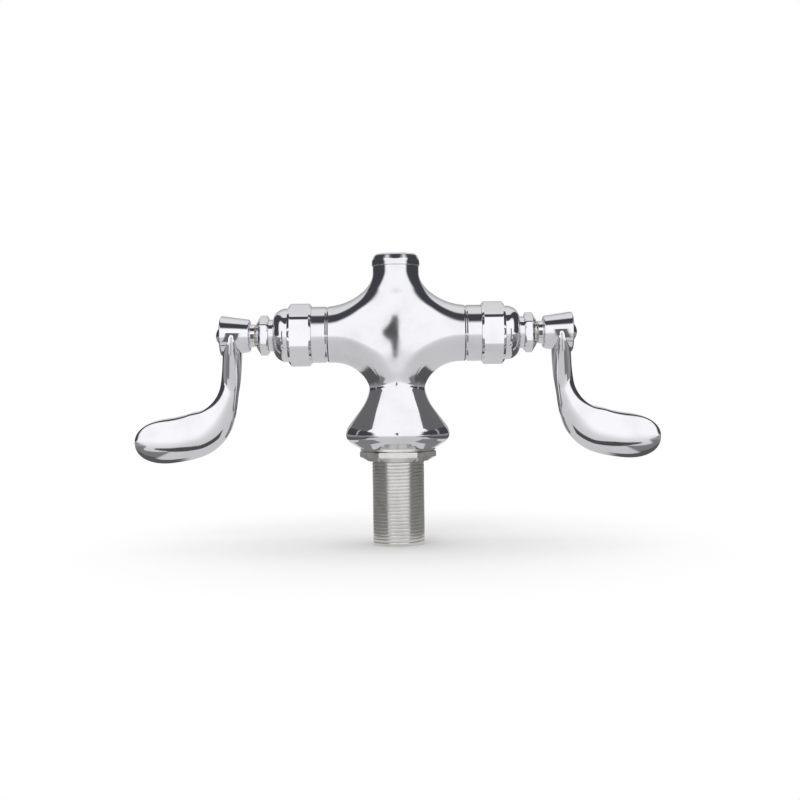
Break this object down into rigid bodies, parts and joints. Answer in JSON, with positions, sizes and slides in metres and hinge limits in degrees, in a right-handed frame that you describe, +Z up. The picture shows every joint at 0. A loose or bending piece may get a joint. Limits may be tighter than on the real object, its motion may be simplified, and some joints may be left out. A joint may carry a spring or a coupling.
{
  "type": "basin mixer tap",
  "caption": "Deck tap body with a single threaded shank, a bell foot, an open threaded neck for a spout, and a wrist-blade lever on each side arm.",
  "frame": {"origin": "on the axis of the column and shank, in the plane of the foot's underside where it stands on the deck", "axes": "+Z up the column and out of the spout thread; +X along the arms to the user's right; the front faces -Y"},
  "size_m": [0.339, 0.0664, 0.186],
  "materials": {
    "chrome_casting": "bright plated, polished casting",
    "chrome_trim": "bright plated, polished turned parts and handles",
    "plated_shank": "dull plated thread",
    "bare_brass": "machined",
    "black_rubber": "matt",
    "red_fibre": "matt fibre",
    "white_polymer": "satin"
  },
  "bodies": {
    "tap_body": {"body": "chrome_casting", "shank": "plated_shank", "deck_gasket": "black_rubber", "right_seat": "bare_brass", "right_bonnet_gasket": "red_fibre", "right_bonnet": "chrome_trim", "right_packing": "white_polymer", "right_gland_follower": "bare_brass", "right_gland_nut": "chrome_trim", "left_seat": "bare_brass", "left_bonnet_gasket": "red_fibre", "left_bonnet": "chrome_trim", "left_packing": "white_polymer", "left_gland_follower": "bare_brass", "left_gland_nut": "chrome_trim"},
    "clamp_washer": {"clamp_washer": "plated_shank"},
    "lock_nut": {"lock_nut": "plated_shank"},
    "right_handle": {"right_spindle": "bare_brass", "right_thrust_washer": "white_polymer", "right_handle": "chrome_trim", "right_handle_screw": "bare_brass", "right_index_cap": "chrome_trim"},
    "right_carriage": {"right_carriage": "bare_brass", "right_seat_washer": "black_rubber", "right_washer_screw": "bare_brass"},
    "left_handle": {"left_spindle": "bare_brass", "left_thrust_washer": "white_polymer", "left_handle": "chrome_trim", "left_handle_screw": "bare_brass", "left_index_cap": "chrome_trim"},
    "left_carriage": {"left_carriage": "bare_brass", "left_seat_washer": "black_rubber", "left_washer_screw": "bare_brass"}
  },
  "joints": [
    {"name": "right_handle_turn", "type": "hinge", "parent": "tap_body", "child": "right_handle", "pos_m": [0, 0, 0.073], "axis": [-1, 0, 0], "range_deg": [0, 90]},
    {"name": "right_carriage_lift", "type": "slide", "parent": "tap_body", "child": "right_carriage", "axis": [1, 0, 0], "range_m": [0, 0.00275]},
    {"name": "left_handle_turn", "type": "hinge", "parent": "tap_body", "child": "left_handle", "pos_m": [0, 0, 0.073], "axis": [-1, 0, 0], "range_deg": [0, 90]},
    {"name": "left_carriage_lift", "type": "slide", "parent": "tap_body", "child": "left_carriage", "axis": [-1, 0, 0], "range_m": [0, 0.00275]},
    {"name": "lock_washer_travel", "type": "slide", "parent": "tap_body", "child": "clamp_washer", "axis": [0, 0, -1], "range_m": [0, 0.045]},
    {"name": "lock_nut_turn", "type": "hinge", "parent": "clamp_washer", "child": "lock_nut", "pos_m": [0, 0, 0], "axis": [0, 0, -1], "range_deg": [0, 7330]}
  ],
  "couplings": [
    {"joint": "right_carriage_lift", "follows": "right_handle_turn", "m_per_rad": 0.0017507},
    {"joint": "left_carriage_lift", "follows": "left_handle_turn", "m_per_rad": 0.0017507},
    {"joint": "lock_washer_travel", "follows": "lock_nut_turn", "m_per_rad": 0.00035152}
  ]
}
